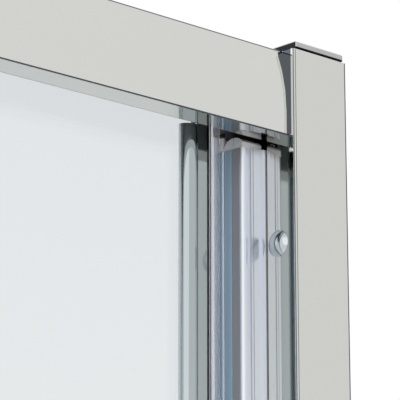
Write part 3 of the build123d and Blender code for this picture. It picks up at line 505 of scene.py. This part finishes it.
def domedCovers(look):
    low, high = boxOf("screw_covers")
    radius = (high[1] - low[1]) / 2
    ball = (radius**2 + look["height"] ** 2) / (2 * look["height"])
    middle = jambHigh[2] / 2
    # a ring of radius r stands sqrt(ball^2 - r^2) - (ball - height) + rim (r / radius)^rimPower out from the
    # jamb's face, and the last ring drops to that face
    spoke = radius * np.sin(np.linspace(look["crown"], 1.0, look["rings"]) * np.pi / 2)
    out = np.sqrt(ball**2 - spoke**2) - (ball - look["height"])
    out = np.minimum(out + look["rim"] * (spoke / radius) ** look["rimPower"], look["height"])
    spoke = np.append(spoke, radius)
    out = np.append(out, 0.0)
    angle = np.linspace(0.0, 2 * np.pi, look["around"], endpoint=False)
    grid = np.arange(len(spoke) * len(angle)).reshape(len(spoke), -1)
    turned = np.roll(grid, -1, axis=1)
    quads = np.stack([grid[:-1], grid[1:], turned[1:], turned[:-1]], axis=-1).reshape(-1, 4)
    shapes = []
    # side 1 bulges towards +X from the left jamb, and side -1 towards -X from the right one
    for side, face in ((1, low[0]), (-1, high[0])):
        for height in (low[2] + radius, middle, high[2] - radius):
            y = (low[1] + high[1]) / 2 + spoke[:, None] * np.cos(angle)
            z = height + spoke[:, None] * np.sin(angle) * side
            x = np.broadcast_to(face + side * out[:, None], y.shape)
            shapes.append((np.stack([x, y, z], axis=-1).reshape(-1, 3), quads, [grid[0], grid[-1][::-1]]))
    addPiece("domedCoverCaps", shapes, "chrome", "frame", "screw_covers")


closingSeal(closingLook)
edgeSeal("overlapSealVinyl", "overlap_seal", "door", (paneLow, paneHigh), -1, paneLow[2], edgeLook)
# the fixed pane's fin ends above the drip seal, which slides past it
finFoot = boxOf("drip_seal")[1][2] + edgeLook["clearance"]
edgeSeal("fixedEdgeSealVinyl", "fixed_edge_seal", "frame", (fixedLow, fixedHigh), 1, finFoot, edgeLook)
dripSeal(dripLook)
strikeCushions(cushionLook)
glazingWedges(wedgeLook)
buffersAndLiner(bufferLook)
domedCovers(domeLook)
print("soft strips and covers made")

# floor, world and lamps: two wide soft boxes, which the bright metals mirror as their darker tones
stageLook = {"halfWidth": 40.0, "drop": 0.0005, "floorColour": (0.86, 0.86, 0.86), "paler": 0.02,
             "rough": 0.8, "stretch": (1.0, 1.0, 1.0), "scale": 0.6, "detail": 2.0}
worldLook = {"colour": (0.95, 0.96, 1.0), "strength": 0.8}
lampLooks = {
    "keyLamp": {"place": (-3.0, -3.3, 3.0), "aim": (0.0, 0.0, 1.2), "size": 4.6, "power": 28.0},
    "fillLamp": {"place": (-3.2, 3.4, 2.9), "aim": (0.0, 0.0, 1.2), "size": 3.6, "power": 17.0},
}


def makeFloor(look):
    side = np.linspace(-look["halfWidth"], look["halfWidth"], 3)
    x, y = np.meshgrid(side, side, indexing="ij")  # a flat sheet, z the same everywhere
    points = np.stack([x, y, np.zeros_like(x) - look["drop"]], axis=-1).reshape(-1, 3)
    grid = np.arange(9).reshape(3, 3)
    faces = np.stack([grid[:-1, :-1], grid[1:, :-1], grid[1:, 1:], grid[:-1, 1:]], axis=-1).reshape(-1, 4)
    mesh = bpy.data.meshes.new("paleFloor")
    mesh.from_pydata(points.tolist(), [], faces.tolist())
    floor = bpy.data.objects.new("paleFloor", mesh)
    bpy.context.scene.collection.objects.link(floor)
    floorMat, tree, shader = newMaterial("paleFloorPaint")
    shader.inputs["Roughness"].default_value = look["rough"]
    tone = objectPattern(tree, look["stretch"], look["scale"], look["detail"])
    paler = tuple(channel + look["paler"] for channel in look["floorColour"])
    tree.links.new(ramp(tree, tone, [(0.3, look["floorColour"]), (0.7, paler)]), shader.inputs["Base Color"])
    # the metals mirror a white floor, and the camera sees the pale one with its shadow
    white = tree.nodes.new("ShaderNodeEmission")
    path = tree.nodes.new("ShaderNodeLightPath")
    mix = tree.nodes.new("ShaderNodeMixShader")
    tree.links.new(path.outputs["Is Glossy Ray"], mix.inputs["Fac"])
    tree.links.new(shader.outputs["BSDF"], mix.inputs[1])
    tree.links.new(white.outputs["Emission"], mix.inputs[2])
    tree.links.new(mix.outputs["Shader"], tree.nodes["Material Output"].inputs["Surface"])
    mesh.materials.append(floorMat)


def makeWorld(look):
    world = bpy.data.worlds.new("studio")
    bpy.context.scene.world = world
    world.use_nodes = True
    tree = world.node_tree
    light = tree.nodes["Background"]
    light.inputs["Color"].default_value = (*look["colour"], 1.0)
    light.inputs["Strength"].default_value = look["strength"]
    # a white background wherever it is seen, through glass and in metal too
    white = tree.nodes.new("ShaderNodeBackground")
    white.inputs["Color"].default_value = (1.0, 1.0, 1.0, 1.0)
    path = tree.nodes.new("ShaderNodeLightPath")
    seen = calculate(tree, "MAXIMUM", path.outputs["Is Camera Ray"], path.outputs["Is Transmission Ray"])
    seen = calculate(tree, "MAXIMUM", seen, path.outputs["Is Glossy Ray"])
    mix = tree.nodes.new("ShaderNodeMixShader")
    tree.links.new(seen, mix.inputs["Fac"])
    tree.links.new(light.outputs["Background"], mix.inputs[1])
    tree.links.new(white.outputs["Background"], mix.inputs[2])
    tree.links.new(mix.outputs["Shader"], tree.nodes["World Output"].inputs["Surface"])


def makeLamp(name, look):
    lamp = bpy.data.lights.new(name, "AREA")
    lamp.size = look["size"]
    lamp.energy = look["power"]
    lampObject = bpy.data.objects.new(name, lamp)
    lampObject.location = look["place"]
    beam = Vector(look["aim"]) - Vector(look["place"])
    lampObject.rotation_euler = beam.to_track_quat("-Z", "Y").to_euler()
    bpy.context.scene.collection.objects.link(lampObject)


makeFloor(stageLook)
makeWorld(worldLook)
for lampName, lampLook in lampLooks.items():
    makeLamp(lampName, lampLook)
print("stage set")

# camera: from the left and below, turned yaw to the right and pitch upwards, in radians
shot = {"place": (-0.2239, -0.8087, 1.5287), "yaw": 0.74245, "pitch": 0.25390, "lens": 193.2,
        "sensor": 36.0, "nearest": 0.05}
camera = bpy.data.cameras.new("photoCamera")
camera.lens = shot["lens"]
camera.sensor_width = shot["sensor"]
camera.clip_start = shot["nearest"]
cameraObject = bpy.data.objects.new("photoCamera", camera)
cameraObject.location = shot["place"]
cameraObject.rotation_euler = (math.pi / 2 + shot["pitch"], 0.0, -shot["yaw"])
bpy.context.scene.collection.objects.link(cameraObject)
bpy.context.scene.camera = cameraObject
bpy.context.scene.view_settings.view_transform = "Standard"
print("camera set")
